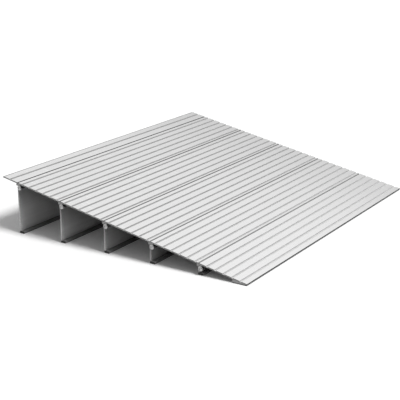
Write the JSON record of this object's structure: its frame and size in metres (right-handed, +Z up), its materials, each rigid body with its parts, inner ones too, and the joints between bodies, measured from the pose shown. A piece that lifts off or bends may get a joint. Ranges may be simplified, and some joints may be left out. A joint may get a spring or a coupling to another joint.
{
  "type": "threshold ramp",
  "caption": "Low aluminium threshold ramp: ribbed planks hook together into a sloping deck on fold-flat legs of falling height with rubber feet, for wheelchairs over a door sill.",
  "frame": {"origin": "on the floor, under the middle of the ramp's bounding box", "axes": "+X downhill, from the nosing to the toe; +Y across the width, away from the pictured side; +Z up"},
  "size_m": [0.7464, 0.9218, 0.149],
  "materials": {
    "deck_extrusion": "clear anodised extrusion, ribbed tread, sawn ends",
    "leg_extrusion": "mill finish extrusion, sawn ends",
    "rubber": "black extruded rubber, matt",
    "steel": "bright zinc plated fasteners"
  },
  "bodies": {
    "deck": {"nosing_plank": "deck_extrusion", "deck_plank_1": "deck_extrusion", "deck_plank_2": "deck_extrusion", "deck_plank_3": "deck_extrusion", "deck_plank_4": "deck_extrusion", "toe_plank": "deck_extrusion", "toe_strip": "rubber", "end_screws": "steel", "end_washers": "steel", "lock_pins": "steel"},
    "leg_1_body": {"leg_1": "leg_extrusion", "foot_strip_1": "rubber"},
    "leg_2_body": {"leg_2": "leg_extrusion", "foot_strip_2": "rubber"},
    "leg_3_body": {"leg_3": "leg_extrusion", "foot_strip_3": "rubber"},
    "leg_4_body": {"leg_4": "leg_extrusion", "foot_strip_4": "rubber"},
    "leg_5_body": {"leg_5": "leg_extrusion", "foot_strip_5": "rubber"}
  },
  "joints": [
    {"name": "leg_1_fold", "type": "hinge", "parent": "deck", "child": "leg_1_body", "pos_m": [-0.31639, 0, 0.12623], "axis": [0, -1, 0], "range_deg": [0, 79]},
    {"name": "leg_2_fold", "type": "hinge", "parent": "deck", "child": "leg_2_body", "pos_m": [-0.17602, 0, 0.09894], "axis": [0, -1, 0], "range_deg": [0, 79]},
    {"name": "leg_3_fold", "type": "hinge", "parent": "deck", "child": "leg_3_body", "pos_m": [-0.03565, 0, 0.07166], "axis": [0, -1, 0], "range_deg": [0, 79]},
    {"name": "leg_4_fold", "type": "hinge", "parent": "deck", "child": "leg_4_body", "pos_m": [0.10473, 0, 0.04438], "axis": [0, -1, 0], "range_deg": [0, 79]},
    {"name": "leg_5_fold", "type": "hinge", "parent": "deck", "child": "leg_5_body", "pos_m": [0.2451, 0, 0.01709], "axis": [0, -1, 0], "range_deg": [0, 79]}
  ]
}
